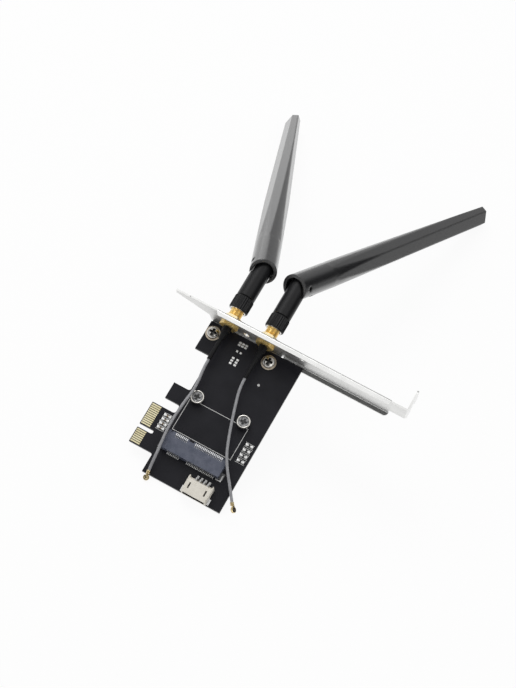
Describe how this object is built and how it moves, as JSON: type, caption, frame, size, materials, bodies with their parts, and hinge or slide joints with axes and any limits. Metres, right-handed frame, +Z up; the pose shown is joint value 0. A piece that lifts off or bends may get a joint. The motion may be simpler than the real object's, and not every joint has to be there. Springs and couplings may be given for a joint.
{
  "type": "mini card to desktop slot adapter with antennas",
  "caption": "Adapter card that carries a wireless mini card in a desktop expansion slot, with a full-height slot bracket, coax leads and tilting antennas.",
  "frame": {"origin": "on the floor under the middle of the object, its coax leads left out", "axes": "+Z up; +Y from the tail of the board to the antennas; +X from the bracket's tongue to its tab"},
  "size_m": [0.1444, 0.2592, 0.0581],
  "materials": {
    "board": "satin black solder mask over glass laminate",
    "gold": "gold plated, bright",
    "bracket_steel": "bright plated sheet steel",
    "nickel": "nickel plated, bright",
    "washer": "champagne plated",
    "socket_plastic": "slate grey moulded plastic",
    "tinned": "tin plated",
    "header_plastic": "warm white moulded plastic",
    "chip": "black film on ceramic",
    "capacitor": "brown ceramic",
    "insulator": "white fluoropolymer",
    "sleeve": "black shrink tube",
    "cable": "mid grey jacket",
    "antenna_plastic": "charcoal satin plastic",
    "radiator": "bare brass"
  },
  "bodies": {
    "card": {"circuit_board": "board", "edge_contacts": "gold", "bracket": "bracket_steel", "bracket_screws": "nickel", "bracket_washers": "washer", "mini_card_standoffs": "nickel", "mini_card_screws": "nickel", "mini_card_socket": "socket_plastic", "socket_contacts": "tinned", "socket_hold_downs": "tinned", "usb_header": "header_plastic", "usb_header_pins": "tinned", "usb_header_tabs": "tinned", "chip_resistors": "chip", "chip_capacitors": "capacitor", "sma_jack_1": "gold", "sma_insulator_1": "insulator", "sma_center_contact_1": "gold", "sma_lock_washer_1": "gold", "sma_nut_1": "gold", "cable_sleeve_1": "sleeve", "coax_cable_1": "cable", "coax_plug_1": "gold", "sma_jack_2": "gold", "sma_insulator_2": "insulator", "sma_center_contact_2": "gold", "sma_lock_washer_2": "gold", "sma_nut_2": "gold", "cable_sleeve_2": "sleeve", "coax_cable_2": "cable", "coax_plug_2": "gold"},
    "coupling_nut_1": {"coupling_nut_1": "antenna_plastic"},
    "antenna_base_1": {"antenna_base_1": "antenna_plastic", "antenna_contact_1": "gold"},
    "antenna_blade_1": {"antenna_blade_1": "antenna_plastic", "hinge_pin_1": "antenna_plastic", "radiator_1": "radiator"},
    "coupling_nut_2": {"coupling_nut_2": "antenna_plastic"},
    "antenna_base_2": {"antenna_base_2": "antenna_plastic", "antenna_contact_2": "gold"},
    "antenna_blade_2": {"antenna_blade_2": "antenna_plastic", "hinge_pin_2": "antenna_plastic", "radiator_2": "radiator"}
  },
  "joints": [
    {"name": "coupling_nut_1_spin", "type": "hinge", "parent": "card", "child": "coupling_nut_1", "pos_m": [-0.01964, -0.04639, 0.04201], "axis": [0, 0.916, 0.4012], "continuous": true},
    {"name": "antenna_1_swivel", "type": "hinge", "parent": "card", "child": "antenna_base_1", "pos_m": [-0.01964, -0.04314, 0.04343], "axis": [0, 0.916, 0.4012], "range_deg": [-25.3, 154.7]},
    {"name": "antenna_1_tilt", "type": "hinge", "parent": "antenna_base_1", "child": "antenna_blade_1", "pos_m": [-0.01964, -0.02666, 0.05065], "axis": [-0.9041, -0.1715, 0.3915], "range_deg": [-43.2, 46.8]},
    {"name": "coupling_nut_2_spin", "type": "hinge", "parent": "card", "child": "coupling_nut_2", "pos_m": [-0.00064, -0.04639, 0.04201], "axis": [0, 0.916, 0.4012], "continuous": true},
    {"name": "antenna_2_swivel", "type": "hinge", "parent": "card", "child": "antenna_base_2", "pos_m": [-0.00064, -0.04314, 0.04343], "axis": [0, 0.916, 0.4012], "range_deg": [-154.7, 25.3]},
    {"name": "antenna_2_tilt", "type": "hinge", "parent": "antenna_base_2", "child": "antenna_blade_2", "pos_m": [-0.00064, -0.02666, 0.05065], "axis": [-0.9041, 0.1715, -0.3915], "range_deg": [-43.2, 46.8]}
  ]
}
